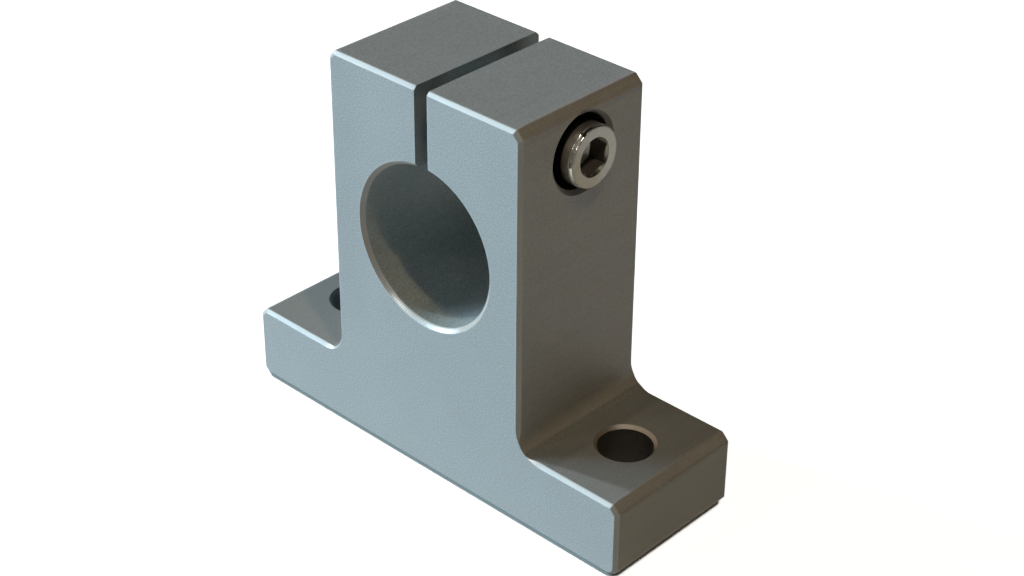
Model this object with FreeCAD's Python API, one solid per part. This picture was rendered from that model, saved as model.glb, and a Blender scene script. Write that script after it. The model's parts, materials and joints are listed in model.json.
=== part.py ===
"""Shaft support block: a one-piece aluminium block that clamps a 20 mm linear shaft, with its clamp screw."""
import FreeCAD, Part
import math
import os

# overall sizes of the block, in millimetres
base_length = 60.0
base_thickness = 10.0
block_depth = 20.0
block_height = 51.0
upright_width = 30.0

# shaft bore and clamping slit
shaft_diameter = 20.0
shaft_height = 31.0
slit_width = 2.0

# bolt holes that hold the block down
bolt_spacing = 45.0
bolt_hole_diameter = 6.6
bolt_hole_chamfer = 0.4

# edges of the block
corner_cut = 1.0
inner_fillet = 2.0
face_chamfer = 0.45
face_fillet_left = 3.1
face_fillet_right = 3.7
bore_chamfer = 0.5

# hole for the clamp screw, from the right-hand side
screw_below_top = 6.0
counterbore_diameter = 9.0
counterbore_chamfer = 0.5
screw_hole_diameter = 5.5
tapped_depth = 11.0
drill_point_angle = 118.0

# clamp screw
thread_diameter = 5.0
thread_pitch = 0.8
thread_clearance = 0.05
thread_end_chamfer = 0.6
screw_length = 20.0
head_diameter = 7.4
head_height = 5.0
head_collar_length = 0.5
head_collar_step = 0.06
head_rim_radius = 0.12
neck_radius = 0.25
socket_flats = 4.0
socket_depth = 2.5
socket_entry_diameter = 4.7
socket_angle = 22.0
turns_backed_off = 2.0

# places that follow from the sizes
half_depth = block_depth / 2
half_upright = upright_width / 2
screw_height = block_height - screw_below_top
head_seat = half_upright - head_height
head_underside = head_seat + turns_backed_off * thread_pitch
head_face = head_underside + head_height
# how far a cutter runs past the surface that it cuts
overrun = 1.0

FRONT_TO_BACK = FreeCAD.Vector(0, 1, 0)
UP = FreeCAD.Vector(0, 0, 1)
ALONG = FreeCAD.Vector(1, 0, 0)


def line(start, end, y):
    """A straight edge between two (x, z) points of the plane at y."""
    return Part.LineSegment(FreeCAD.Vector(start[0], y, start[1]), FreeCAD.Vector(end[0], y, end[1])).toShape()


def fillet_arc(side, corner_x, corner_z, radius, y):
    """The inner fillet on one side, from the flange (first point) up to the upright (last point)."""
    centre_x = corner_x + radius
    centre_z = corner_z + radius
    lean = radius * math.sqrt(0.5)
    flange_end = FreeCAD.Vector(side * centre_x, y, corner_z)
    middle = FreeCAD.Vector(side * (centre_x - lean), y, centre_z - lean)
    upright_end = FreeCAD.Vector(side * corner_x, y, centre_z)
    return Part.Arc(flange_end, middle, upright_end).toShape()


def outline(y, grow, radius_left, radius_right):
    """The block's outline at y as a closed wire, grown outwards by grow; each corner cut keeps its distance."""
    cut = corner_cut + grow * (2 - math.sqrt(2))
    half_base = base_length / 2 + grow
    half_top = half_upright + grow
    flange = base_thickness + grow
    top = block_height + grow
    bottom = -grow
    edges = []
    edges.append(line((-half_base + cut, bottom), (half_base - cut, bottom), y))
    for side, radius in ((1, radius_right), (-1, radius_left)):
        half = [
            line((side * (half_base - cut), bottom), (side * half_base, bottom + cut), y),
            line((side * half_base, bottom + cut), (side * half_base, flange - cut), y),
            line((side * half_base, flange - cut), (side * (half_base - cut), flange), y),
            line((side * (half_base - cut), flange), (side * (half_top + radius), flange), y),
            fillet_arc(side, half_top, flange, radius, y),
            line((side * half_top, flange + radius), (side * half_top, top - cut), y),
            line((side * half_top, top - cut), (side * (half_top - cut), top), y),
        ]
        if side == 1:
            edges += half
            edges.append(line((half_top - cut, top), (-half_top + cut, top), y))
        else:
            edges += reversed(half)
    return Part.Wire(Part.__sortEdges__(edges))


def face_taper(y_face, inwards):
    """The chamfering cutter's limit at one face: the outline there, growing as it goes in at 45 degrees."""
    reach = 2 * face_chamfer
    at_face = outline(y_face, -face_chamfer, face_fillet_left, face_fillet_right)
    inner_y = y_face + inwards * reach
    deeper = outline(inner_y, -face_chamfer + reach, face_fillet_left - reach, face_fillet_right - reach)
    return Part.makeLoft([at_face, deeper], True, True)


def chamfered_profile():
    """The outline through the block's whole depth, with the front and back edges chamfered."""
    prism = Part.Face(outline(-half_depth, 0, inner_fillet, inner_fillet)).extrude(FRONT_TO_BACK * block_depth)
    reach = 2 * face_chamfer
    middle_wire = outline(
        -half_depth + reach, -face_chamfer + reach, face_fillet_left - reach, face_fillet_right - reach
    )
    middle = Part.Face(middle_wire).extrude(FRONT_TO_BACK * (block_depth - 2 * reach))
    limit = middle.fuse([face_taper(-half_depth, 1), face_taper(half_depth, -1)])
    return prism.common(limit)


def shaft_bore():
    """The cutter for the shaft's bore, with a chamfer at each face."""
    radius = shaft_diameter / 2
    start = FreeCAD.Vector(0, -half_depth - overrun, shaft_height)
    cutter = Part.makeCylinder(radius, block_depth + 2 * overrun, start, FRONT_TO_BACK)
    cone_length = bore_chamfer + overrun
    for side in (-1, 1):
        tip = FreeCAD.Vector(0, side * (half_depth - bore_chamfer), shaft_height)
        cone = Part.makeCone(radius, radius + cone_length, cone_length, tip, FRONT_TO_BACK * side)
        cutter = cutter.fuse(cone)
    return cutter


def clamping_slit():
    """The cutter for the slit that splits the upright into two jaws, from the bore to the top."""
    corner = FreeCAD.Vector(-slit_width / 2, -half_depth - overrun, shaft_height)
    return Part.makeBox(slit_width, block_depth + 2 * overrun, block_height - shaft_height + overrun, corner)


def bolt_hole(x):
    """The cutter for one bolt hole, chamfered at both ends."""
    radius = bolt_hole_diameter / 2
    cutter = Part.makeCylinder(radius, base_thickness + 2 * overrun, FreeCAD.Vector(x, 0, -overrun), UP)
    cone_length = bolt_hole_chamfer + overrun
    top_start = FreeCAD.Vector(x, 0, base_thickness - bolt_hole_chamfer)
    bottom_start = FreeCAD.Vector(x, 0, bolt_hole_chamfer)
    top_cone = Part.makeCone(radius, radius + cone_length, cone_length, top_start, UP)
    bottom_cone = Part.makeCone(radius, radius + cone_length, cone_length, bottom_start, UP * -1)
    return cutter.fuse([top_cone, bottom_cone])


def turned(points):
    """A solid turned about the clamp screw's axis from (x, radius) points; a three-part entry adds an arc."""
    edges = []
    last = FreeCAD.Vector(points[0][0], 0, screw_height + points[0][1])
    for entry in points[1:]:
        corner = FreeCAD.Vector(entry[0], 0, screw_height + entry[1])
        if len(entry) == 4:
            middle = FreeCAD.Vector(entry[2], 0, screw_height + entry[3])
            edges.append(Part.Arc(last, middle, corner).toShape())
        else:
            edges.append(Part.LineSegment(last, corner).toShape())
        last = corner
    start = FreeCAD.Vector(points[0][0], 0, screw_height + points[0][1])
    edges.append(Part.LineSegment(last, start).toShape())
    return Part.Face(Part.Wire(edges)).revolve(FreeCAD.Vector(0, 0, screw_height), ALONG, 360)


def screw_hole():
    """The cutter for the clamp screw: counterbore and plain hole in the right jaw, tapped hole in the left."""
    outside = half_upright + overrun
    counterbore = counterbore_diameter / 2
    rim = counterbore + counterbore_chamfer
    plain = screw_hole_diameter / 2
    tapped = thread_diameter / 2 + thread_clearance
    tapped_end = -slit_width / 2 - tapped_depth
    drill_tip = tapped_end - tapped / math.tan(math.radians(drill_point_angle / 2))
    return turned([
        (drill_tip, 0),
        (tapped_end, tapped),
        (0, tapped),
        (0, plain),
        (head_seat, plain),
        (head_seat, counterbore),
        (half_upright - counterbore_chamfer, counterbore),
        (half_upright, rim),
        (outside, rim + overrun),
        (outside, 0),
    ])


def make_block():
    """The support block, machined in the order of a real one: outline, bore, slit and holes."""
    block = chamfered_profile()
    block = block.cut(shaft_bore())
    block = block.cut(clamping_slit())
    for side in (-1, 1):
        block = block.cut(bolt_hole(side * bolt_spacing / 2))
    return block.cut(screw_hole()).removeSplitter()


def screw_blank():
    """The screw before its socket is broached: shank, neck, grip, collar and rim."""
    shank = thread_diameter / 2
    grip = head_diameter / 2
    collar = grip - head_collar_step
    rim = collar - head_rim_radius
    tip = head_underside - screw_length
    lean = head_rim_radius * (1 - math.sqrt(0.5))
    neck_lean = neck_radius * (1 - math.sqrt(0.5))
    collar_start = head_face - head_collar_length
    return turned([
        (tip, 0),
        (tip, shank - thread_end_chamfer),
        (tip + thread_end_chamfer, shank),
        (head_underside - neck_radius, shank),
        (head_underside, shank + neck_radius, head_underside - neck_lean, shank + neck_lean),
        (head_underside, grip - head_collar_step),
        (head_underside + head_collar_step, grip),
        (collar_start - head_collar_step, grip),
        (collar_start, collar),
        (head_face - head_rim_radius, collar),
        (head_face, rim, head_face - lean, collar - lean),
        (head_face, 0),
    ])


def socket():
    """The cutter for the hexagon socket, with its round countersunk entry and pointed bottom."""
    corner_radius = socket_flats / math.sqrt(3)
    entry = socket_entry_diameter / 2
    bottom = head_face - socket_depth
    corners = []
    for step in range(7):
        angle = math.radians(socket_angle + 60 * step)
        y = corner_radius * math.cos(angle)
        z = screw_height + corner_radius * math.sin(angle)
        corners.append(FreeCAD.Vector(bottom, y, z))
    hexagon = Part.Face(Part.makePolygon(corners)).extrude(ALONG * (socket_depth + overrun))
    flat = socket_flats / 2
    entry_cone = turned([
        (head_face - entry, 0),
        (head_face + overrun, entry + overrun),
        (head_face + overrun, 0),
    ])
    drill_point = flat / math.tan(math.radians(drill_point_angle / 2))
    point = turned([(bottom - drill_point, 0), (bottom, flat), (bottom + overrun, flat), (bottom + overrun, 0)])
    return hexagon.fuse([entry_cone, point])


def make_screw():
    """The clamp screw as it stands in the block, backed off its seat by a few turns."""
    return screw_blank().cut(socket())


os.makedirs("parts", exist_ok=True)
for name, shape in (("support_block", make_block()), ("clamp_screw", make_screw())):
    shape.exportStep("parts/" + name + ".step")
    box = shape.BoundBox
    print(name, shape.isValid(), len(shape.Solids), round(shape.Volume, 1), len(shape.Faces), box)
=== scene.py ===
"""The looks of a shaft support block: finishes, a detailed clamp screw, a plain pale stage and the camera."""
import json
import math

import bmesh
import bpy
from bpy.props import FloatProperty, FloatVectorProperty, IntProperty, PointerProperty
from mathutils import Matrix, Vector


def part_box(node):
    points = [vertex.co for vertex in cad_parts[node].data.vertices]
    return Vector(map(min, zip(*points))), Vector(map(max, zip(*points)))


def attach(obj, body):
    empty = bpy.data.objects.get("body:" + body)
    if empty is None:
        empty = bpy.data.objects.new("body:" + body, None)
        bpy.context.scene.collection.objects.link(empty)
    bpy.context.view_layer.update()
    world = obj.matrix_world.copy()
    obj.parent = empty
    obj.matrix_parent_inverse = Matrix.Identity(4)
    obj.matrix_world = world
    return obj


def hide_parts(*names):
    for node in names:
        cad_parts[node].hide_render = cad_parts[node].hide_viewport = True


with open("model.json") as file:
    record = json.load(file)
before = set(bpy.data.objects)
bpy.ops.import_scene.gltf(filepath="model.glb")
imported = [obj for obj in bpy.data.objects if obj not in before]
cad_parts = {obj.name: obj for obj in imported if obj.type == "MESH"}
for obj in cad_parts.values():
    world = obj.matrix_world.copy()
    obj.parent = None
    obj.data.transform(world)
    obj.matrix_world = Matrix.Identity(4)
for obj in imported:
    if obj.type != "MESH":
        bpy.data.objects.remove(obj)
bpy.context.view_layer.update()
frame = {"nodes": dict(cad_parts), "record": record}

bl_info = {
    "name": "Shaft Support Block",
    "version": (1, 0, 0),
    "blender": (4, 5, 0),
    "location": "3D View > Sidebar > Support Block",
    "description": "Finishes, clamp screw and stage for a shaft support block",
    "category": "Object",
}

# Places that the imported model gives, in metres
block_low, block_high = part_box("support_block")
screw_low, screw_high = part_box("clamp_screw")
screw_axis_height = (screw_low.z + screw_high.z) / 2
mounts = {mount["name"]: mount for mount in frame["record"]["mounts"]}

# The block's sizes for the places of its finishes, in millimetres
half_base = block_high.x * 1000
half_depth = block_high.y * 1000
block_top = block_high.z * 1000
bore_middle = mounts["shaft_bore"]["pos_m"][2] * 1000
bore_radius = mounts["shaft_bore"]["dims"]["r_mm"]
bolt_middle = mounts["base_bolts"]["dims"]["spacing_x_mm"] / 2
bolt_radius = mounts["base_bolts"]["dims"]["hole_r_mm"]
screw_middle = screw_axis_height * 1000
flange_height = 10.0
half_upright = 15.0
corner_size = 1.0
half_slit = 1.0
bore_chamfer = 0.5
bolt_hole_chamfer = 0.4
pocket_radius = 4.5
pocket_chamfer = 0.5
pocket_depth = 5.0

# Where the slit opens into the bore
slit_foot = bore_middle + math.sqrt(bore_radius ** 2 - half_slit ** 2)

# The profile's corner cuts: across plus up on each of them, or across minus up at the foot
top_corner = half_upright + block_top - corner_size
flange_corner = half_base + flange_height - corner_size
foot_corner = half_base - corner_size

# The part of a normal that lies along each axis on a 45 degree chamfer
SLOPE = math.sqrt(0.5)
# Depth of a metric thread as a share of its pitch
THREAD_DEPTH = 0.61343


def colour_property(name, description, default):
    return FloatVectorProperty(
        name=name, description=description, default=default, subtype="COLOR", size=3, min=0.0, max=1.0
    )


def length_property(name, description, default):
    return FloatProperty(
        name=name, description=description, default=default, unit="LENGTH", min=0.0, precision=5
    )


def share_property(name, description, default):
    return FloatProperty(
        name=name, description=description, default=default, subtype="FACTOR", min=0.0, max=1.0
    )


# Materials


class Field:
    """A number that changes over a surface; arithmetic on it adds Math nodes to its material."""

    def __init__(self, bench, socket):
        self.bench = bench
        self.socket = socket

    def maths(self, operation, *values):
        node = self.bench.node("ShaderNodeMath", {"operation": operation}, dict(enumerate(values)))
        return Field(self.bench, node.outputs[0])

    def __add__(self, other):
        return self.maths("ADD", self, other)

    __radd__ = __add__

    def __sub__(self, other):
        return self.maths("SUBTRACT", self, other)

    def __rsub__(self, other):
        return self.maths("SUBTRACT", other, self)

    def __mul__(self, other):
        return self.maths("MULTIPLY", self, other)

    __rmul__ = __mul__

    def __truediv__(self, other):
        return self.maths("DIVIDE", self, other)

    def __rtruediv__(self, other):
        return self.maths("DIVIDE", other, self)

    def __pow__(self, other):
        return self.maths("POWER", self, other)

    def __neg__(self):
        return self.maths("MULTIPLY", self, -1.0)

    def __abs__(self):
        return self.maths("ABSOLUTE", self)

    def sine(self):
        return self.maths("SINE", self)

    def turn(self, other):
        """The angle of the point (other, self), in radians from -pi to pi."""
        return self.maths("ARCTAN2", self, other)

    def larger(self, other):
        return self.maths("MAXIMUM", self, other)

    def smaller(self, other):
        return self.maths("MINIMUM", self, other)

    def rise(self, low, high):
        """0 below low, 1 above high and a smooth step between them."""
        node = self.bench.node(
            "ShaderNodeMapRange",
            {"interpolation_type": "SMOOTHSTEP", "clamp": True},
            {"Value": self, "From Min": low, "From Max": high, "To Min": 0.0, "To Max": 1.0},
        )
        return Field(self.bench, node.outputs["Result"])

    def fall(self, low, high):
        """1 below low, 0 above high and a smooth step between them."""
        return 1 - self.rise(low, high)

    def near(self, value, half_width, softness):
        """1 within half_width of a value, fading to 0 over softness."""
        return abs(self - value).fall(half_width, half_width + softness)


class Bench:
    """Builds one material from nodes, with places in millimetres."""

    def __init__(self, name):
        self.material = bpy.data.materials.new(name)
        self.material.use_nodes = True
        self.tree = self.material.node_tree
        self.tree.nodes.clear()
        self.coordinates = self.node("ShaderNodeTexCoord", {}, {})

    def node(self, kind, settings, inputs):
        """Adds a node: its settings first, then the values or links of its sockets."""
        node = self.tree.nodes.new(kind)
        for name, value in settings.items():
            setattr(node, name, value)
        for key, value in inputs.items():
            if isinstance(value, Field):
                value = value.socket
            if isinstance(value, bpy.types.NodeSocket):
                self.tree.links.new(value, node.inputs[key])
            else:
                node.inputs[key].default_value = value
        return node

    def millimetres(self):
        """The point on the surface, in millimetres, as a vector socket."""
        return self.scaled(self.coordinates.outputs["Object"], 1000.0)

    def scaled(self, vector, factor):
        """A vector or a colour times a factor."""
        node = self.node("ShaderNodeVectorMath", {"operation": "SCALE"}, {0: vector, "Scale": factor})
        return node.outputs["Vector"]

    def parts(self, vector):
        node = self.node("ShaderNodeSeparateXYZ", {}, {"Vector": vector})
        return [Field(self, node.outputs[axis]) for axis in "XYZ"]

    def normals(self):
        return self.parts(self.coordinates.outputs["Normal"])

    def vector(self, x, y, z):
        return self.node("ShaderNodeCombineXYZ", {}, {"X": x, "Y": y, "Z": z}).outputs["Vector"]

    def noise(self, vector, scale, detail=2.0, roughness=0.5):
        """Soft random variation round 0, about -0.5 to 0.5."""
        node = self.node(
            "ShaderNodeTexNoise",
            {"noise_dimensions": "3D"},
            {"Vector": vector, "Scale": scale, "Detail": detail, "Roughness": roughness},
        )
        return Field(self, node.outputs["Fac"]) - 0.5

    def blend(self, below, above, factor):
        """A colour that goes from below to above as factor goes from 0 to 1."""
        node = self.node(
            "ShaderNodeMix",
            {"data_type": "RGBA", "clamp_factor": True},
            {"Factor": factor, "A": rgba(below), "B": rgba(above)},
        )
        return node.outputs[2]

    def painted(self, ground, coats):
        """A ground colour with coats of (colour, place) laid over it in turn."""
        for colour, place in coats:
            ground = self.blend(ground, colour, place)
        return ground

    def worn_edges(self, radius):
        """Normals that turn softly over each edge, as if it were rounded by this much."""
        return self.node("ShaderNodeBevel", {"samples": 6}, {"Radius": radius}).outputs["Normal"]

    def bumped(self, height, strength, distance, edges=None):
        inputs = {"Strength": strength, "Distance": distance, "Height": height}
        if edges:
            inputs["Normal"] = edges
        return self.node("ShaderNodeBump", {}, inputs).outputs["Normal"]

    def finish(self, inputs):
        shader = self.node("ShaderNodeBsdfPrincipled", {}, inputs)
        self.node("ShaderNodeOutputMaterial", {}, {"Surface": shader.outputs["BSDF"]})
        return self.material


def rgba(colour):
    """A colour socket as it is, or three plain numbers as a colour with alpha 1."""
    if isinstance(colour, bpy.types.NodeSocket):
        return colour
    return (colour[0], colour[1], colour[2], 1.0)


def scratch(across, up, middle, angle, half_length):
    """1 on a fine straight scratch: its middle, its angle in radians, half its length in millimetres."""
    along = (across - middle[0]) * math.cos(angle) + (up - middle[1]) * math.sin(angle)
    aside = (up - middle[1]) * math.cos(angle) - (across - middle[0]) * math.sin(angle)
    return abs(aside).fall(0.02, 0.07) * abs(along).fall(half_length * 0.6, half_length)


class BlockPlaces:
    """Where each finish of the block lies: fields that are 1 there and 0 elsewhere."""

    def __init__(self, bench):
        self.point = bench.millimetres()
        self.x, self.y, self.z = bench.parts(self.point)
        self.nx, self.ny, self.nz = bench.normals()
        self.across = abs(self.x)
        self.deep = abs(self.y)
        self.from_bore = (self.x * self.x + (self.z - bore_middle) ** 2) ** 0.5
        self.left_side = self.x.fall(-1.0, 1.0)
        self.mark_faces()
        self.mark_corners()
        self.mark_bore_and_slit()
        self.mark_bolt_holes()
        self.mark_screw_hole()
        self.mark_edges()
        self.mark_scratches()

    def mark_faces(self):
        facing = abs(self.ny)
        self.sawn = facing.rise(0.9, 0.97)
        self.profile = facing.fall(0.15, 0.35)
        self.cut_edge = (1 - self.sawn - self.profile).larger(0.0)
        self.upper = self.profile * self.nz.rise(0.75, 0.9)
        self.flange_top = self.upper * self.z.fall(flange_height + 2.0, flange_height + 3.0)
        self.left_jaw = self.sawn * self.x.fall(-13.0, -7.0) * self.z.rise(12.0, 22.0)
        above_foot = self.z.rise(corner_size - 0.1, corner_size + 0.1)
        # painted shade: the right end face is painted darker and browner than the left end
        self.shaded_end_face = self.profile * self.x.rise(half_base - 0.5, half_base - 0.4) * above_foot

    def mark_corners(self):
        out_and_up = self.across + self.z
        on_flange = self.across.rise(half_base - 3.0, half_base - 2.5)
        # how far the surface has come round from the end face on to the flange's corner cut
        past_end_edge = (half_base - self.across) * math.sqrt(2) + out_and_up - flange_corner
        top_cut = out_and_up.rise(top_corner - 0.5, top_corner)
        flange_cut = out_and_up.rise(flange_corner - 0.4, flange_corner) * on_flange
        flange_cut = flange_cut * past_end_edge.rise(-0.35, 0.35)
        foot_cut = (self.across - self.z).rise(foot_corner - 0.3, foot_corner)
        self.corner_cut = self.profile * (top_cut + flange_cut + foot_cut).smaller(1.0)
        # the corner cuts at the foot take a painted shade colour
        self.foot_cut = self.corner_cut * self.nz.fall(-0.6, -0.4)

        round_top = out_and_up.rise(top_corner - 2.0, top_corner - 1.2)
        round_flange = out_and_up.rise(flange_corner - 2.0, flange_corner - 1.2) * on_flange
        self.soft_corner = (round_top + round_flange) * self.deep.fall(half_depth - 1.1, half_depth - 0.7)

        under_top = self.z.near(block_top + 0.2, 1.3, 0.9)
        under_flange = self.z.near(flange_height + 0.2, 1.3, 0.9)
        under_flange = under_flange * self.across.rise(half_base - 1.0, half_base - 0.5)
        self.near_corner = self.profile * abs(self.nx).rise(0.8, 0.95) * (under_top + under_flange)

    def mark_bore_and_slit(self):
        x, y, z = self.x, self.y, self.z
        self.bore_wall = self.profile * self.from_bore.fall(bore_radius + 0.05, bore_radius + 0.15)
        # painted shade on the bore's wall at the bottom
        self.low_bore_shade = self.bore_wall * z.fall(22.5, 25.0) * x.rise(-4.0, -1.0)
        self.on_rim = self.from_bore.fall(bore_radius + bore_chamfer + 0.3, bore_radius + bore_chamfer + 0.4)

        self.slit_wall = self.profile * self.across.fall(half_slit + 0.02, half_slit + 0.1)
        self.slit_wall = self.slit_wall * z.rise(slit_foot - 0.45, slit_foot + 0.05)
        # painted light on the slit's walls near the top front
        self.lit_slit_top = self.slit_wall * z.rise(45.5, 48.5) * y.rise(-7.5, -4.0) * y.fall(2.0, 6.5)

        bore_lip = self.from_bore.near(bore_radius + bore_chamfer + 0.05, 0.04, 0.07)
        slit_lip = self.across.near(half_slit + 0.05, 0.05, 0.07) * z.rise(40.0, 41.0)
        side_lip = self.across.near(half_upright - 0.5, 0.05, 0.07) * z.rise(13.0, 14.0)
        # painted highlights: thin light lines along the bore's rim, the slit and the upright's sides on the
        # front and back faces
        self.edge_highlight = self.sawn * (bore_lip + slit_lip + side_lip)

    def mark_bolt_holes(self):
        from_bolt = ((self.across - bolt_middle) ** 2 + self.y * self.y) ** 0.5
        upright = abs(self.nz).fall(0.2, 0.4)
        self.bolt_wall = from_bolt.fall(bolt_radius + 0.02, bolt_radius + 0.12) * upright
        rim = bolt_radius + bolt_hole_chamfer
        self.bolt_rim = from_bolt.fall(rim + 0.04, rim + 0.12) * abs(self.nz).near(SLOPE, 0.15, 0.1)
        self.bolt_rim = self.bolt_rim * self.z.rise(flange_height - 1.0, flange_height - 0.7)

    def mark_screw_hole(self):
        from_screw = (self.y * self.y + (self.z - screw_middle) ** 2) ** 0.5
        seat = half_upright - pocket_depth
        self.pocket = from_screw.fall(pocket_radius + 0.04, pocket_radius + 0.1)
        self.pocket = self.pocket * self.x.rise(seat - 0.5, seat - 0.1)
        rim = pocket_radius + pocket_chamfer
        self.pocket_rim = from_screw.fall(rim + 0.04, rim + 0.1) * self.nx.near(SLOPE, 0.15, 0.1)
        self.pocket_rim = self.pocket_rim * self.x.rise(half_upright - 1.0, half_upright - 0.7)

    def mark_edges(self):
        by_face = self.deep.rise(half_depth - 0.65, half_depth - 0.5)
        self.face_edge = self.cut_edge * by_face
        self.bright_edge = self.face_edge * self.nz.rise(0.56, 0.67)
        self.bright_edge = self.bright_edge * self.deep.rise(half_depth - 0.42, half_depth - 0.30)
        # painted shade: a dark line along the foot of the front and back faces and their chamfers
        self.foot_shade_line = (1 - self.profile) * self.z.fall(0.56, 0.70) * by_face

    def mark_scratches(self):
        x, y, z = self.x, self.y, self.z
        on_top = scratch(x, y, (-7.9, 1.1), 1.15, 0.9) + scratch(x, y, (-6.1, -4.6), 1.2, 0.5)
        on_front = scratch(x, z, (13.0, 24.4), -0.45, 0.9) + scratch(x, z, (12.2, 20.6), 0.5, 0.6)
        self.scratched = self.upper * on_top + self.sawn * on_front * 0.6


class BlockGrain:
    """The fine patterns of the block's finishes, as fields round 0."""

    def __init__(self, bench, at):
        x, y, z = at.x, at.y, at.z
        self.grain = bench.noise(at.point, 5.0, 3.0, 0.6)
        self.speckle = bench.noise(at.point, 6.5, 1.0, 0.5)
        self.cloud = bench.noise(at.point, 0.16, 2.0, 0.5)
        self.drawn = bench.noise(bench.vector(x * 6.0, y * 0.12, z * 6.0), 1.0, 3.0, 0.6)
        self.drawn_wide = bench.noise(bench.vector(x * 0.9, y * 0.03, z * 0.9), 1.0, 2.0, 0.5)
        self.reamed = bench.noise(bench.vector(x * 8.0, y * 1.2, z * 8.0), 1.0, 2.0, 0.6)
        # marks of the cutter across the chamfers, counted along the bore's rim or the straight edges
        mark_spacing = 0.30
        rim_radius = bore_radius + bore_chamfer / 2
        round_rim = (z - bore_middle).turn(x) * rim_radius
        along = at.on_rim * round_rim + (1 - at.on_rim) * (x + z)
        uneven = bench.noise(bench.vector(x * 3.0, y * 8.0, z * 3.0), 1.0, 2.0, 0.5)
        self.chatter = (along * (2 * math.pi / mark_spacing)).sine() * 0.5 + uneven


def block_colour(bench, look, at):
    return bench.painted(look.drawn_colour, (
        (look.sawn_colour, at.sawn),
        (look.upper_light_colour, at.upper),
        (look.flange_shade_colour, at.flange_top),
        (look.cut_colour, at.cut_edge),
        (look.end_shade_colour, at.shaded_end_face),
        (look.corner_colour, at.corner_cut * look.corner_share),
        (look.foot_cut_shade_colour, at.foot_cut),
        (look.bore_colour, at.bore_wall),
        (look.low_bore_shade_colour, at.low_bore_shade),
        (look.slit_shade_colour, at.slit_wall),
        (look.slit_top_light_colour, at.lit_slit_top),
        (look.bolt_hole_shade_colour, at.bolt_wall),
        (look.rim_colour, at.bolt_rim),
        (look.left_hole_shade_colour, (at.bolt_wall + at.bolt_rim) * at.left_side),
        (look.pocket_shade_colour, at.pocket),
        (look.pocket_rim_colour, at.pocket_rim),
        (look.fresh_cut_and_highlight_colour, at.bright_edge),
        (look.foot_shade_colour, at.foot_shade_line),
    ))


def block_tone(at, mark):
    """How much lighter or darker than its colour the block is, as a factor round 1: grain and marks, and
    painted highlights and shade on edges, slit, bore, flange and rims.
    """
    right_side = 1 - at.left_side
    off_rim = 1 - at.on_rim
    tone = 1 + at.sawn * (mark.grain * 0.34 + mark.speckle * 1.2) + mark.cloud * 0.08 - at.left_jaw * 0.06
    speckled = mark.speckle * (0.62 + at.upper * 0.30 + at.bore_wall * 0.35)
    tone = tone + at.profile * (mark.drawn * 0.20 + mark.drawn_wide * 0.12 + speckled)
    tone = tone + at.bore_wall * mark.reamed * 0.60
    chattered = at.on_rim * at.nz.rise(0.3, 0.5) * 0.26 + off_rim * at.z.fall(11.0, 12.0) * 0.10 + 0.04
    tone = tone + at.face_edge * mark.chatter * chattered
    # painted highlight lines along the front edges; the scratches are real marks
    tone = tone + at.edge_highlight * 0.18 + at.scratched * 0.25 - at.near_corner * 0.12
    # painted shade and light in the slit: darker in from the front, lighter where it opens at the back
    tone = tone - at.slit_wall * (at.y.rise(-8.0, -3.0) * 0.20 - at.y.rise(4.5, 9.0) * 0.65)
    # painted shade on the right flange top, darkest beside the upright
    tone = tone - at.flange_top * (at.x.near(17.5, 1.5, 1.5) * 0.16 + right_side * 0.05)
    # painted shade on the bore's right half
    tone = tone - at.bore_wall * at.x.rise(-2.0, 5.0) * 0.08
    # painted shade on the up-facing chamfers on the left and round the bore
    tone = tone - at.bright_edge * (at.left_side * off_rim * 0.14 + at.on_rim * 0.10)
    # painted highlight on the back of the right bolt hole's rim
    return tone + at.bolt_rim * right_side * at.y.rise(1.0, 3.0) * 1.7


def anodised_aluminium(look):
    """Satin anodised aluminium: an extruded profile with sawn, blasted faces, cut chamfers and holes."""
    bench = Bench("satin_anodised_aluminium")
    at = BlockPlaces(bench)
    mark = BlockGrain(bench, at)
    colour = bench.scaled(block_colour(bench, look, at), block_tone(at, mark))

    satin = 0.46
    roughness = satin + at.sawn * (0.02 + mark.grain * 0.06) + at.profile * mark.drawn * 0.10
    roughness = roughness + at.bright_edge * (look.bright_roughness - satin + mark.chatter * 0.04)
    height = at.sawn * (mark.grain * 0.6 + mark.speckle * 0.5)
    height = height + at.profile * (mark.drawn * 0.8 + mark.speckle * 0.3)
    height = height + at.bore_wall * mark.reamed * 0.8 + at.cut_edge * mark.chatter * 0.35
    edges = bench.worn_edges((0.10 + at.soft_corner * 0.40) / 1000)
    return bench.finish({
        "Base Color": colour,
        "Metallic": at.bright_edge * look.bright_metallic,
        "Roughness": roughness,
        "Specular IOR Level": 0.3,
        "Normal": bench.bumped(height, 0.35, 0.00003, edges),
    })


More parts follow.
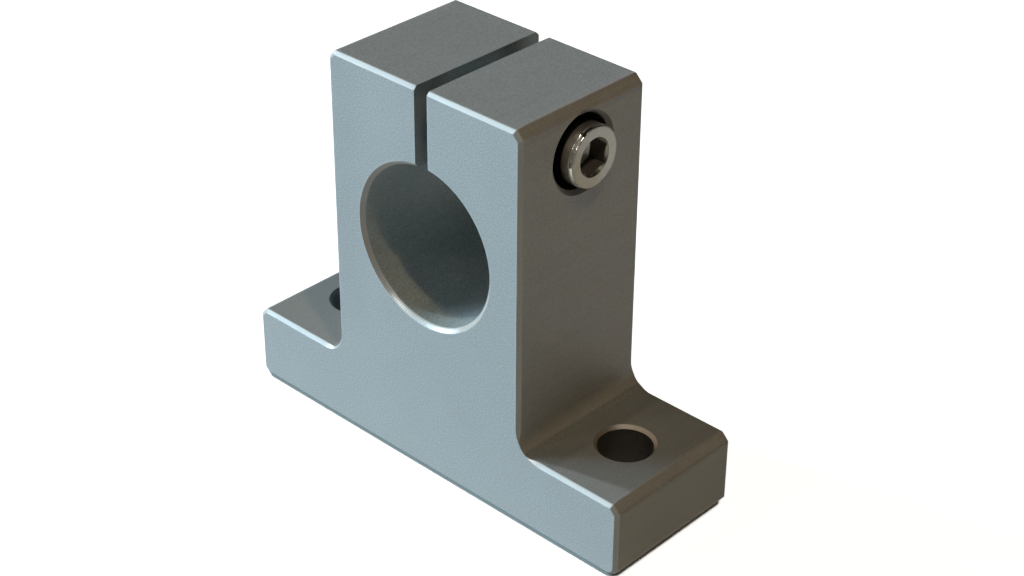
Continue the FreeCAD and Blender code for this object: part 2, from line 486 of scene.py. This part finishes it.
class ScrewPlaces:
    """Where each finish of the clamp screw lies: fields that are 1 there and 0 elsewhere."""

    def __init__(self, bench, sizes):
        self.point = bench.millimetres()
        self.x, y, z = bench.parts(self.point)
        self.nx = bench.normals()[0]
        self.depth = screw_high.x * 1000 - self.x
        self.radius = (y * y + (z - screw_middle) ** 2) ** 0.5
        # the place round the head, as an angle up from its front
        self.round_head = (z - screw_middle).turn(-y)
        self.mark_face_and_socket(sizes)
        self.mark_head(sizes)
        self.mark_wear(bench, sizes)

    def mark_face_and_socket(self, sizes):
        entry_radius = sizes.entry_diameter / 2 * 1000
        socket_depth = sizes.socket_depth * 1000
        self.face_ring = self.nx.rise(0.85, 0.95) * self.depth.fall(0.05, 0.1)
        self.entry = self.nx.near(SLOPE, 0.12, 0.1)
        self.entry = self.entry * self.radius.fall(entry_radius + 0.27, entry_radius + 0.35)
        self.socket = self.depth.rise(0.25, 0.32) * self.radius.fall(entry_radius - 0.02, entry_radius + 0.05)
        self.socket_floor = self.socket * self.depth.rise(socket_depth - 0.08, socket_depth)

    def mark_head(self, sizes):
        head_radius = sizes.head_diameter / 2 * 1000
        head_height = sizes.head_height * 1000
        collar_height = sizes.collar_height * 1000
        shank_radius = sizes.thread_diameter / 2 * 1000
        stands_out = screw_high.x * 1000 - half_upright
        self.collar = self.depth.fall(collar_height + 0.02, collar_height + 0.08)
        self.collar = self.collar * self.radius.rise(head_radius - 0.4, head_radius - 0.25)
        self.shank = self.depth.rise(head_height - 0.08, head_height + 0.12)
        self.shank = self.shank * self.radius.fall(shank_radius + 0.2, shank_radius + 0.4)
        # painted shade: the grip inside the counterbore is painted near black
        self.sunk_in_shade = self.depth.rise(stands_out - 0.10, stands_out + 0.15) * (1 - self.shank)

    def mark_wear(self, bench, sizes):
        head_radius = sizes.head_diameter / 2 * 1000
        collar_height = sizes.collar_height * 1000
        near = self.round_head.near
        self.cloud = bench.noise(self.point, 0.8, 2.0, 0.5)
        specks = bench.noise(self.point, 5.0, 1.0, 0.5)
        self.rubbed = self.collar * self.nx.fall(0.3, 0.5) * near(-0.47, 0.42, 0.08)
        scuffs = near(0.92, 0.11, 0.03) + near(0.70, 0.07, 0.03) + near(0.38, 0.20, 0.04) * 0.6
        self.scuffed = self.collar * scuffs
        stains = near(-0.7, 0.8, 1.0) * 0.75 + self.cloud.rise(0.02, 0.2) * 0.35
        self.stained = self.face_ring * stains
        # burrs, and painted highlights: bright specks on the countersink at the places where they catch the
        # light
        burrs = near(-0.95, 0.24, 0.08) * specks.rise(-0.02, 0.04) * 1.6 + near(-2.3, 0.20, 0.08) * 0.3
        self.burrs_and_highlights = self.entry * burrs
        self.polished = near(1.04, 0.10, 0.08).larger(near(0.66, 0.05, 0.05))
        rim = self.collar * self.nx.rise(0.10, 0.25)
        step = self.radius.rise(head_radius - 0.12, head_radius - 0.08)
        step = step * self.radius.fall(head_radius, head_radius + 0.02)
        step = step * self.depth.near(collar_height + 0.02, 0.06, 0.03)
        # the rim is rougher and painted darker everywhere but at the two places where the glints fall
        self.dull_and_shaded_rim = rim.larger(step) * (1 - self.polished)


def screw_colour(bench, look, at):
    return bench.painted(look.grip_colour, (
        (look.collar_colour, at.collar),
        (look.rubbed_colour, at.rubbed.larger(at.scuffed * 0.4)),
        (look.sunk_shade_colour, at.sunk_in_shade),
        (look.rim_shade_colour, at.dull_and_shaded_rim),
        (look.face_colour, at.face_ring),
        (look.stain_colour, at.stained),
        (look.entry_colour, at.entry),
        (look.rubbed_colour, at.burrs_and_highlights),
        (look.socket_shade_colour, at.socket),
        (look.rubbed_colour, at.socket_floor),
        (look.shank_colour, at.shank),
    ))


def screw_steel(look, sizes):
    """Turned steel: a bright face and collar, a duller grip and a socket darkened with painted shade."""
    bench = Bench("turned_screw_steel")
    at = ScrewPlaces(bench, sizes)
    grain = bench.noise(at.point, 7.0, 3.0, 0.6)
    blotch = bench.noise(at.point, 2.2, 2.0, 0.6)
    turned = bench.noise(bench.vector(at.radius * 9.0, at.x * 0.5, 0.0), 1.0, 2.0, 0.5)
    lathe = bench.noise(bench.vector(at.x * 12.0, at.radius * 0.5, 0.0), 1.0, 2.0, 0.5)

    tone = 1 + grain * 0.25 + at.cloud * 0.25 + at.face_ring * (turned * 0.12 + blotch * 0.30)
    roughness = 0.30 - at.collar * 0.18 + at.face_ring * 0.04 + at.socket * 0.2 + grain * 0.05
    roughness = roughness + at.rubbed * 0.20 + at.scuffed * 0.26 + at.dull_and_shaded_rim * 0.3
    roughness = roughness - at.polished * at.collar * 0.05
    height = at.face_ring * turned + (1 - at.face_ring) * lathe * 0.6 + grain * 0.4
    # the rubbed place leans forward a little, so that it mirrors the floor
    height = height + at.rubbed * at.depth * 100
    return bench.finish({
        "Base Color": bench.scaled(screw_colour(bench, look, at), tone),
        "Metallic": 1.0 - at.scuffed.smaller(1.0) * 0.4 - at.socket * 0.5,
        "Roughness": roughness,
        "Normal": bench.bumped(height, 0.25, 0.00002),
    })


def pale_floor(stage):
    """A plain white floor: white to the camera and in reflections, with the object's soft shadow kept and a
    painted contact shadow right under its edges.
    """
    bench = Bench("pale_floor")
    path = bench.node("ShaderNodeLightPath", {}, {})
    rays = [Field(bench, path.outputs[f"Is {kind} Ray"]) for kind in ("Camera", "Glossy", "Transmission")]
    seen = (rays[0] + rays[1] + rays[2]).smaller(1.0)

    # a painted contact shadow: a fine dark line where the object's edge nearly closes the floor off
    closeness = bench.node("ShaderNodeAmbientOcclusion", {"samples": 24}, {"Distance": stage.contact_reach})
    open_floor = Field(bench, closeness.outputs["AO"]).rise(0.40, 0.48)
    x = bench.parts(bench.millimetres())[0]
    # painted shadow: the floor's glow darkens to these colours at the object's edge, browner at the right end
    contact = bench.blend(stage.contact_shadow_colour, stage.end_contact_shadow_colour, x.rise(28.6, 29.2))
    white = (stage.floor_white, stage.floor_white, stage.floor_white)
    glow = bench.node("ShaderNodeEmission", {}, {"Color": bench.blend(contact, white, open_floor)})

    dark = bench.node("ShaderNodeBsdfDiffuse", {}, {"Color": rgba(stage.covered_shade_colour)})
    pale = bench.node("ShaderNodeBsdfDiffuse", {}, {"Color": rgba(stage.floor_colour)})
    own = bench.node("ShaderNodeMixShader", {}, {0: open_floor, 1: dark.outputs[0], 2: pale.outputs[0]})
    both = bench.node("ShaderNodeAddShader", {}, {0: own.outputs[0], 1: glow.outputs[0]})
    shown = bench.node("ShaderNodeMixShader", {}, {0: seen, 1: own.outputs[0], 2: both.outputs[0]})
    bench.node("ShaderNodeOutputMaterial", {}, {"Surface": shown.outputs[0]})
    return bench.material


# Properties


class BlockFinish(bpy.types.PropertyGroup):
    sawn_colour: colour_property(
        "Sawn faces", "Colour of the blasted front and back faces", (0.42, 0.46, 0.47))
    drawn_colour: colour_property(
        "Drawn faces", "Colour of the extruded sides and tops", (0.43, 0.42, 0.39))
    # painted shade: the flange tops are a darker copy of the upper faces' colour
    flange_shade_colour: colour_property(
        "Flange tops", "Colour of the flanges' upper faces", (0.355, 0.36, 0.352))
    # painted light: faces that look up are tinted cooler and greyer than the other drawn faces
    upper_light_colour: colour_property(
        "Upper faces", "Colour of the extruded faces that look up", (0.40, 0.413, 0.413))
    cut_colour: colour_property(
        "Cut edges", "Colour of the chamfers on the front and back", (0.48, 0.465, 0.43))
    # freshly cut chamfers, and a painted highlight: only the chamfers that face up are painted this lighter
    # colour
    fresh_cut_and_highlight_colour: colour_property(
        "Bright edges", "Colour of the freshly cut chamfers that face up", (0.60, 0.645, 0.66))
    # painted shade: the dark line along the foot of the front and back faces
    foot_shade_colour: colour_property(
        "Foot line", "Colour of the soiled edge along the foot", (0.165, 0.235, 0.24))
    # painted shade: the corner cuts along the foot
    foot_cut_shade_colour: colour_property(
        "Foot corners", "Colour of the soiled corners along the ends of the foot", (0.055, 0.048, 0.036))
    # painted shade: the right end face, darker and browner than the left end
    end_shade_colour: colour_property(
        "End face", "Colour of the machined right end of the base", (0.260, 0.229, 0.151))
    corner_colour: colour_property(
        "Corner cuts", "Colour of the corners along the profile", (0.51, 0.50, 0.485))
    bore_colour: colour_property(
        "Bore", "Colour of the shaft bore's wall", (0.375, 0.40, 0.39))
    # painted shade on the bore's wall at the bottom
    low_bore_shade_colour: colour_property(
        "Bore, low", "Colour of the bore's wall at the bottom", (0.33, 0.375, 0.375))
    # painted shade on the walls of the clamping slit
    slit_shade_colour: colour_property(
        "Slit", "Colour of the walls of the clamping slit", (0.24, 0.262, 0.262))
    # painted light on the slit's walls near the top
    slit_top_light_colour: colour_property(
        "Slit, top", "Colour of the slit's walls near the top", (0.42, 0.51, 0.56))
    # painted shade inside the bolt holes
    bolt_hole_shade_colour: colour_property(
        "Bolt holes", "Colour of the bolt holes' walls", (0.085, 0.073, 0.06))
    rim_colour: colour_property(
        "Bolt hole rims", "Colour of the bolt holes' chamfers", (0.33, 0.29, 0.25))
    # painted shade inside the left bolt hole and on its rim, tinted cooler than the right one
    left_hole_shade_colour: colour_property(
        "Left bolt hole", "Colour of the left bolt hole's wall and chamfer", (0.11, 0.135, 0.135))
    # painted shade inside the counterbore
    pocket_shade_colour: colour_property(
        "Screw pocket", "Colour inside the clamp screw's counterbore", (0.03, 0.03, 0.03))
    pocket_rim_colour: colour_property(
        "Screw pocket rim", "Colour of the counterbore's chamfer", (0.215, 0.205, 0.185))
    corner_share: share_property(
        "Corner tint", "How strongly the corner cuts take their own colour", 1.0)
    bright_metallic: share_property(
        "Bright edge metal", "How metallic the bright chamfers look", 0.38)
    bright_roughness: share_property(
        "Bright edge roughness", "Roughness of the bright chamfers", 0.40)


class ScrewShape(bpy.types.PropertyGroup):
    head_diameter: length_property(
        "Head diameter", "Diameter of the screw's grip", screw_high.z - screw_low.z)
    head_height: length_property(
        "Head height", "Height of the head, a hair short of its seat when tight", 0.00498)
    collar_height: length_property(
        "Collar height", "Height of the polished collar at the face", 0.0005)
    collar_step: length_property(
        "Collar step", "How far the collar lies inside the grip", 0.00008)
    rim_round: length_property(
        "Rim rounding", "Rounding of the collar's front edge", 0.00012)
    entry_diameter: length_property(
        "Socket entry", "Diameter of the socket's countersink at the face", 0.0047)
    socket_flats: length_property(
        "Socket flats", "Hexagon socket across its flats", 0.004)
    socket_depth: length_property(
        "Socket depth", "Depth of the socket's flat walls", 0.0025)
    thread_diameter: length_property(
        "Thread diameter", "Outside diameter of the thread", 0.005)
    thread_pitch: length_property(
        "Thread pitch", "Distance between two turns of the thread", 0.0008)
    socket_turn: FloatProperty(
        name="Socket turn", description="Turn of the hexagon about the screw's axis",
        default=math.radians(22), subtype="ANGLE", unit="ROTATION",
    )
    segments: IntProperty(name="Segments", description="Steps round the head", default=96, min=24, max=192)


class ScrewFinish(bpy.types.PropertyGroup):
    face_colour: colour_property(
        "Face", "Colour of the head's flat ring", (0.205, 0.195, 0.165))
    stain_colour: colour_property(
        "Stain", "Colour of the brown stains on the flat ring", (0.165, 0.140, 0.095))
    collar_colour: colour_property(
        "Collar", "Colour of the polished collar", (0.60, 0.58, 0.54))
    rubbed_colour: colour_property(
        "Rubbed metal", "Colour of rubbed places and burrs", (0.66, 0.65, 0.57))
    grip_colour: colour_property(
        "Grip", "Colour of the head's grip", (0.32, 0.285, 0.235))
    # painted shade on the grip inside the counterbore
    sunk_shade_colour: colour_property(
        "Sunken grip", "Colour of the oily grip inside the counterbore", (0.03, 0.03, 0.027))
    # painted shade on the collar's rim away from its glints
    rim_shade_colour: colour_property(
        "Dull rim", "Colour of the rim where it isn't polished", (0.16, 0.155, 0.135))
    entry_colour: colour_property(
        "Socket entry", "Colour of the socket's countersink", (0.13, 0.115, 0.085))
    # painted shade inside the socket
    socket_shade_colour: colour_property(
        "Socket", "Colour inside the socket", (0.075, 0.058, 0.043))
    shank_colour: colour_property(
        "Shank", "Colour of the threaded shank", (0.30, 0.29, 0.26))


class StageSettings(bpy.types.PropertyGroup):
    floor_colour: colour_property(
        "Floor", "Colour of the plain floor", (0.60, 0.59, 0.57))
    floor_white: share_property(
        "Floor white", "Strength of the white that the camera sees", 0.93)
    floor_size: length_property(
        "Floor size", "Width of the floor", 8.0)
    # painted shade: the floor's own colour where the object closes it off
    covered_shade_colour: colour_property(
        "Covered floor", "Colour of the floor where the object covers it", (0.02, 0.02, 0.02))
    # painted shadow: the floor's glow right under the object's edge
    contact_shadow_colour: colour_property(
        "Contact line", "Glow of the floor right under the object's edge", (0.20, 0.27, 0.285))
    # painted shadow: the floor's glow right under the right end
    end_contact_shadow_colour: colour_property(
        "Contact line, end", "Glow of the floor right under the right end", (0.040, 0.032, 0.020))
    contact_reach: length_property(
        "Contact reach", "How far the contact line under the object reaches", 0.0010)
    room_colour: colour_property(
        "Room", "Colour of the dim light all round", (0.010, 0.009, 0.008))


# Pieces


def new_piece(name, mesh_maker, material):
    """An object at the origin from a function that fills a bmesh."""
    mesh = bpy.data.meshes.new(name)
    shape = bmesh.new()
    mesh_maker(shape)
    shape.to_mesh(mesh)
    shape.free()
    piece = bpy.data.objects.new(name, mesh)
    bpy.context.scene.collection.objects.link(piece)
    mesh.materials.append(material)
    return piece


def chain(shape, points, turn):
    """A chain of edges through (along, radius) points, in the half plane at a turn about the screw's axis."""
    corners = []
    for along, radius in points:
        place = (along, radius * math.cos(turn), screw_axis_height + radius * math.sin(turn))
        corners.append(shape.verts.new(place))
    edges = [shape.edges.new(pair) for pair in zip(corners, corners[1:])]
    return corners, edges


def polar(vert):
    """Radius and angle of a vertex about the screw's axis."""
    across = vert.co.y
    up = vert.co.z - screw_axis_height
    return math.hypot(across, up), math.atan2(up, across)


def place_polar(vert, along, radius, angle):
    height = screw_axis_height + radius * math.sin(angle)
    vert.co = Vector((along, radius * math.cos(angle), height))


def rim_edges(shape, along, radius):
    """The ring of edges at a place along the axis and a radius."""
    close = 1e-6

    def fits(vert):
        return abs(vert.co.x - along) < close and abs(polar(vert)[0] - radius) < close
    return [edge for edge in shape.edges if fits(edge.verts[0]) and fits(edge.verts[1])]


def drawn_out(shape, loop):
    """Extrudes a loop of edges in place and gives the new loop's edges and vertices."""
    new = bmesh.ops.extrude_edge_only(shape, edges=loop)["geom"]
    edges = [item for item in new if isinstance(item, bmesh.types.BMEdge)]
    verts = [item for item in new if isinstance(item, bmesh.types.BMVert)]
    return edges, verts


def turn_screw_blank(shape, sizes):
    """The turned screw with an open front, from its tip to the edge of its socket."""
    face = screw_high.x
    tip = screw_low.x
    underside = face - sizes.head_height
    grip = sizes.head_diameter / 2
    collar = grip - sizes.collar_step
    collar_start = face - sizes.collar_height
    crest = sizes.thread_diameter / 2
    root = crest - THREAD_DEPTH * sizes.thread_pitch
    tip_chamfer = 0.0002
    thread_end = underside - 0.0012
    neck_start = underside - 0.0007
    neck = crest - 0.00002
    neck_flare = 0.0002
    outline = [
        (tip, 0.0), (tip, root - tip_chamfer), (tip + tip_chamfer, root), (thread_end, root),
        (neck_start, neck), (underside - neck_flare, neck), (underside, crest + neck_flare),
        (underside, grip), (collar_start, grip), (collar_start, collar), (face, collar),
        (face, sizes.entry_diameter / 2),
    ]
    corners, edges = chain(shape, outline, sizes.socket_turn)
    bmesh.ops.spin(
        shape, geom=corners + edges, cent=(0, 0, screw_axis_height), axis=(1, 0, 0), dvec=(0, 0, 0),
        angle=2 * math.pi, steps=sizes.segments, use_merge=True,
    )
    bmesh.ops.remove_doubles(shape, verts=shape.verts, dist=1e-7)
    step_round = 0.00006
    underside_round = 0.0001
    rounded = (
        (face, collar, sizes.rim_round),
        (collar_start, grip, step_round),
        (underside, grip, underside_round),
    )
    for along, radius, width in rounded:
        bmesh.ops.bevel(
            shape, geom=rim_edges(shape, along, radius), offset=width, offset_type="OFFSET",
            affect="EDGES", segments=4, profile=0.5, material=-1,
        )


def broach_socket(shape, sizes):
    """The countersunk hexagon socket that closes the screw's front."""
    face = screw_high.x
    entry = sizes.entry_diameter / 2
    flat = sizes.socket_flats / 2
    bottom = face - sizes.socket_depth
    loop, verts = drawn_out(shape, rim_edges(shape, face, entry))
    # the countersink meets the hexagon where its cone reaches the flats
    for vert in verts:
        angle = polar(vert)[1]
        across = (angle - sizes.socket_turn) % (math.pi / 3) - math.pi / 6
        radius = flat / math.cos(across)
        place_polar(vert, face - (entry - radius), radius, angle)
    loop, verts = drawn_out(shape, loop)
    for vert in verts:
        vert.co.x = bottom
    verts = drawn_out(shape, loop)[1]
    drill_point = Vector((bottom - flat * 0.55, 0, screw_axis_height))
    bmesh.ops.pointmerge(shape, verts=verts, merge_co=drill_point)


def thread_ridge(shape, sizes):
    """One turn after another of the thread's ridge, wound round the core as a closed shell of its own."""
    pitch = sizes.thread_pitch
    crest = sizes.thread_diameter / 2
    root = crest - THREAD_DEPTH * pitch
    sunk_root = root - 0.00008
    tip = screw_low.x
    underside = screw_high.x - sizes.head_height
    start = tip + 0.1 * pitch
    last_turn = underside - 0.0009
    turns = int((last_turn - start) / pitch)
    steps = 30
    # foot, crest and foot of the ridge, at shares of the pitch
    section = [
        (start, sunk_root), (start + 0.30 * pitch, crest), (start + 0.42 * pitch, crest),
        (start + 0.72 * pitch, sunk_root),
    ]
    corners, edges = chain(shape, section, 0.0)
    edges.append(shape.edges.new((corners[-1], corners[0])))
    bmesh.ops.spin(
        shape, geom=corners + edges, cent=(0, 0, screw_axis_height), axis=(1, 0, 0),
        dvec=(pitch / steps, 0, 0), angle=2 * math.pi * turns, steps=steps * turns, use_merge=False,
    )
    ends = [edge for edge in shape.edges if len(edge.link_faces) == 1]
    bmesh.ops.holes_fill(shape, edges=ends, sides=0)
    # the ridge runs out at the chamfered tip and under the head
    run_out = underside - 0.0004
    for vert in shape.verts:
        radius, angle = polar(vert)
        most = min(root + (vert.co.x - tip) * 0.8, root + (run_out - vert.co.x))
        if radius > most:
            place_polar(vert, vert.co.x, max(most, root - 0.0001), angle)
    bmesh.ops.recalc_face_normals(shape, faces=shape.faces)


class SUPPORT_OT_block(bpy.types.Operator):
    """Give the support block its satin anodised finish"""
    bl_idname = "support.block"
    bl_label = "Finish the Block"

    def execute(self, context):
        material = anodised_aluminium(context.scene.block_finish)
        block = frame["nodes"]["support_block"]
        for slot in block.material_slots:
            slot.material = material
        return {"FINISHED"}


class SUPPORT_OT_screw(bpy.types.Operator):
    """Make the detailed clamp screw in the place of the plain one"""
    bl_idname = "support.screw"
    bl_label = "Make the Clamp Screw"

    def execute(self, context):
        sizes = context.scene.screw_shape
        material = screw_steel(context.scene.screw_finish, sizes)

        def make(shape):
            turn_screw_blank(shape, sizes)
            broach_socket(shape, sizes)
            bmesh.ops.recalc_face_normals(shape, faces=shape.faces)
            ridge = bmesh.new()
            thread_ridge(ridge, sizes)
            spare = bpy.data.meshes.new("ridge")
            ridge.to_mesh(spare)
            ridge.free()
            shape.from_mesh(spare)
            bpy.data.meshes.remove(spare)
            for face in shape.faces:
                face.smooth = True

        screw = new_piece("socket_screw", make, material)
        screw.data.set_sharp_from_angle(angle=math.radians(32))
        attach(screw, "screw")
        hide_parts("clamp_screw")
        return {"FINISHED"}


def soft_lamp(name, direction, distance, size, power, colour):
    """A round soft lamp that shines at the block from a direction."""
    target = Vector((0.0, 0.0, 0.028))
    lamp = bpy.data.lights.new(name, "AREA")
    lamp.shape = "DISK"
    lamp.size = size
    lamp.energy = power
    lamp.color = colour
    stand = bpy.data.objects.new(name, lamp)
    bpy.context.scene.collection.objects.link(stand)
    towards = Vector(direction).normalized()
    aim = towards.to_track_quat("Z", "Y").to_matrix().to_4x4()
    stand.matrix_world = Matrix.Translation(target + towards * distance) @ aim
    return stand


def light_the_block():
    """The soft lamps that light the block, and two small ones that only show in polished metal."""
    warm_white = (1.0, 0.95, 0.88)
    soft_lamp("left", (-0.875, -0.235, 0.423), 1.4, 0.10, 10.0, (0.79, 0.92, 1.0))
    soft_lamp("front", (-0.811, -0.568, 0.139), 1.4, 0.50, 18.4, (0.64, 0.86, 1.0))
    soft_lamp("window", (-0.592, -0.504, 0.629), 1.4, 0.40, 0.55, (0.84, 0.95, 1.0))
    soft_lamp("overhead", (0.405, -0.180, 0.897), 1.6, 0.06, 3.4, (1.0, 0.76, 0.43))
    soft_lamp("spot", (-0.303, -0.757, 0.579), 1.4, 0.06, 1.1, warm_white)
    soft_lamp("back", (-0.45, 0.89, 0.05), 1.4, 0.50, 1.8, (0.85, 0.93, 1.0))
    glints = (
        ("glint_high", (0.405, -0.180, 0.897), 24.0),
        ("glint_low", (0.082, -0.787, 0.608), 8.0),
    )
    for name, direction, power in glints:
        glint = soft_lamp(name, direction, 1.6, 0.06, power, warm_white)
        glint.visible_diffuse = False


def dim_room(scene, colour):
    world = bpy.data.worlds.new("room")
    world.use_nodes = True
    background = world.node_tree.nodes["Background"]
    background.inputs["Color"].default_value = rgba(colour)
    background.inputs["Strength"].default_value = 1.0
    scene.world = world


def set_camera(scene):
    """The camera where the photograph was taken: round to the right and above."""
    azimuth, elevation, roll = (math.radians(angle) for angle in (43.299, 30.258, 0.364))
    target = Vector((0, 0, 0.035))
    distance = 0.238786
    moved_right = 0.003156
    moved_down = 0.004844
    image_width = 1024
    focal_pixels = 2073.617
    shift_pixels = -59.5

    out = math.cos(elevation)
    back = Vector((math.sin(azimuth) * out, -math.cos(azimuth) * out, math.sin(elevation)))
    level = Vector((math.cos(azimuth), math.sin(azimuth), 0))
    upright = back.cross(level)
    right = level * math.cos(roll) + upright * math.sin(roll)
    up = upright * math.cos(roll) - level * math.sin(roll)
    place = target + back * distance + right * moved_right - up * moved_down

    lens = bpy.data.cameras.new("camera")
    lens.sensor_width = 36.0
    lens.lens = focal_pixels / image_width * lens.sensor_width
    lens.shift_y = shift_pixels / image_width
    lens.clip_start = 0.01
    lens.clip_end = 50.0
    camera = bpy.data.objects.new("camera", lens)
    scene.collection.objects.link(camera)
    turned = Matrix((right, up, back)).transposed().to_4x4()
    camera.matrix_world = Matrix.Translation(place) @ turned
    scene.camera = camera


class SUPPORT_OT_stage(bpy.types.Operator):
    """Set the plain pale floor, the soft lamps and the camera"""
    bl_idname = "support.stage"
    bl_label = "Set the Stage"

    def execute(self, context):
        scene = context.scene
        stage = scene.stage_settings
        gap = 0.00005

        def make(shape):
            bmesh.ops.create_grid(shape, x_segments=2, y_segments=2, size=stage.floor_size / 2)
            bmesh.ops.translate(shape, verts=shape.verts, vec=(0, 0, block_low.z - gap))

        floor = new_piece("floor", make, pale_floor(stage))
        light_the_block()
        dim_room(scene, stage.room_colour)
        set_camera(scene)
        scene.view_settings.view_transform = "Standard"
        return {"FINISHED"}


class SUPPORT_PT_panel(bpy.types.Panel):
    """The steps that dress the shaft support block"""
    bl_idname = "SUPPORT_PT_panel"
    bl_label = "Support Block"
    bl_space_type = "VIEW_3D"
    bl_region_type = "UI"
    bl_category = "Support Block"

    def draw(self, context):
        layout = self.layout
        for operator in STEPS:
            layout.operator(operator.bl_idname)


STEPS = (SUPPORT_OT_block, SUPPORT_OT_screw, SUPPORT_OT_stage)
GROUPS = {
    "block_finish": BlockFinish,
    "screw_shape": ScrewShape,
    "screw_finish": ScrewFinish,
    "stage_settings": StageSettings,
}


def register():
    for group in GROUPS.values():
        bpy.utils.register_class(group)
    for name, group in GROUPS.items():
        setattr(bpy.types.Scene, name, PointerProperty(type=group))
    for operator in STEPS:
        bpy.utils.register_class(operator)
    bpy.utils.register_class(SUPPORT_PT_panel)


def unregister():
    bpy.utils.unregister_class(SUPPORT_PT_panel)
    for operator in reversed(STEPS):
        bpy.utils.unregister_class(operator)
    for name in GROUPS:
        delattr(bpy.types.Scene, name)
    for group in reversed(list(GROUPS.values())):
        bpy.utils.unregister_class(group)


def main():
    register()
    bpy.ops.support.block()
    bpy.ops.support.screw()
    bpy.ops.support.stage()


if __name__ == "__main__":
    main()
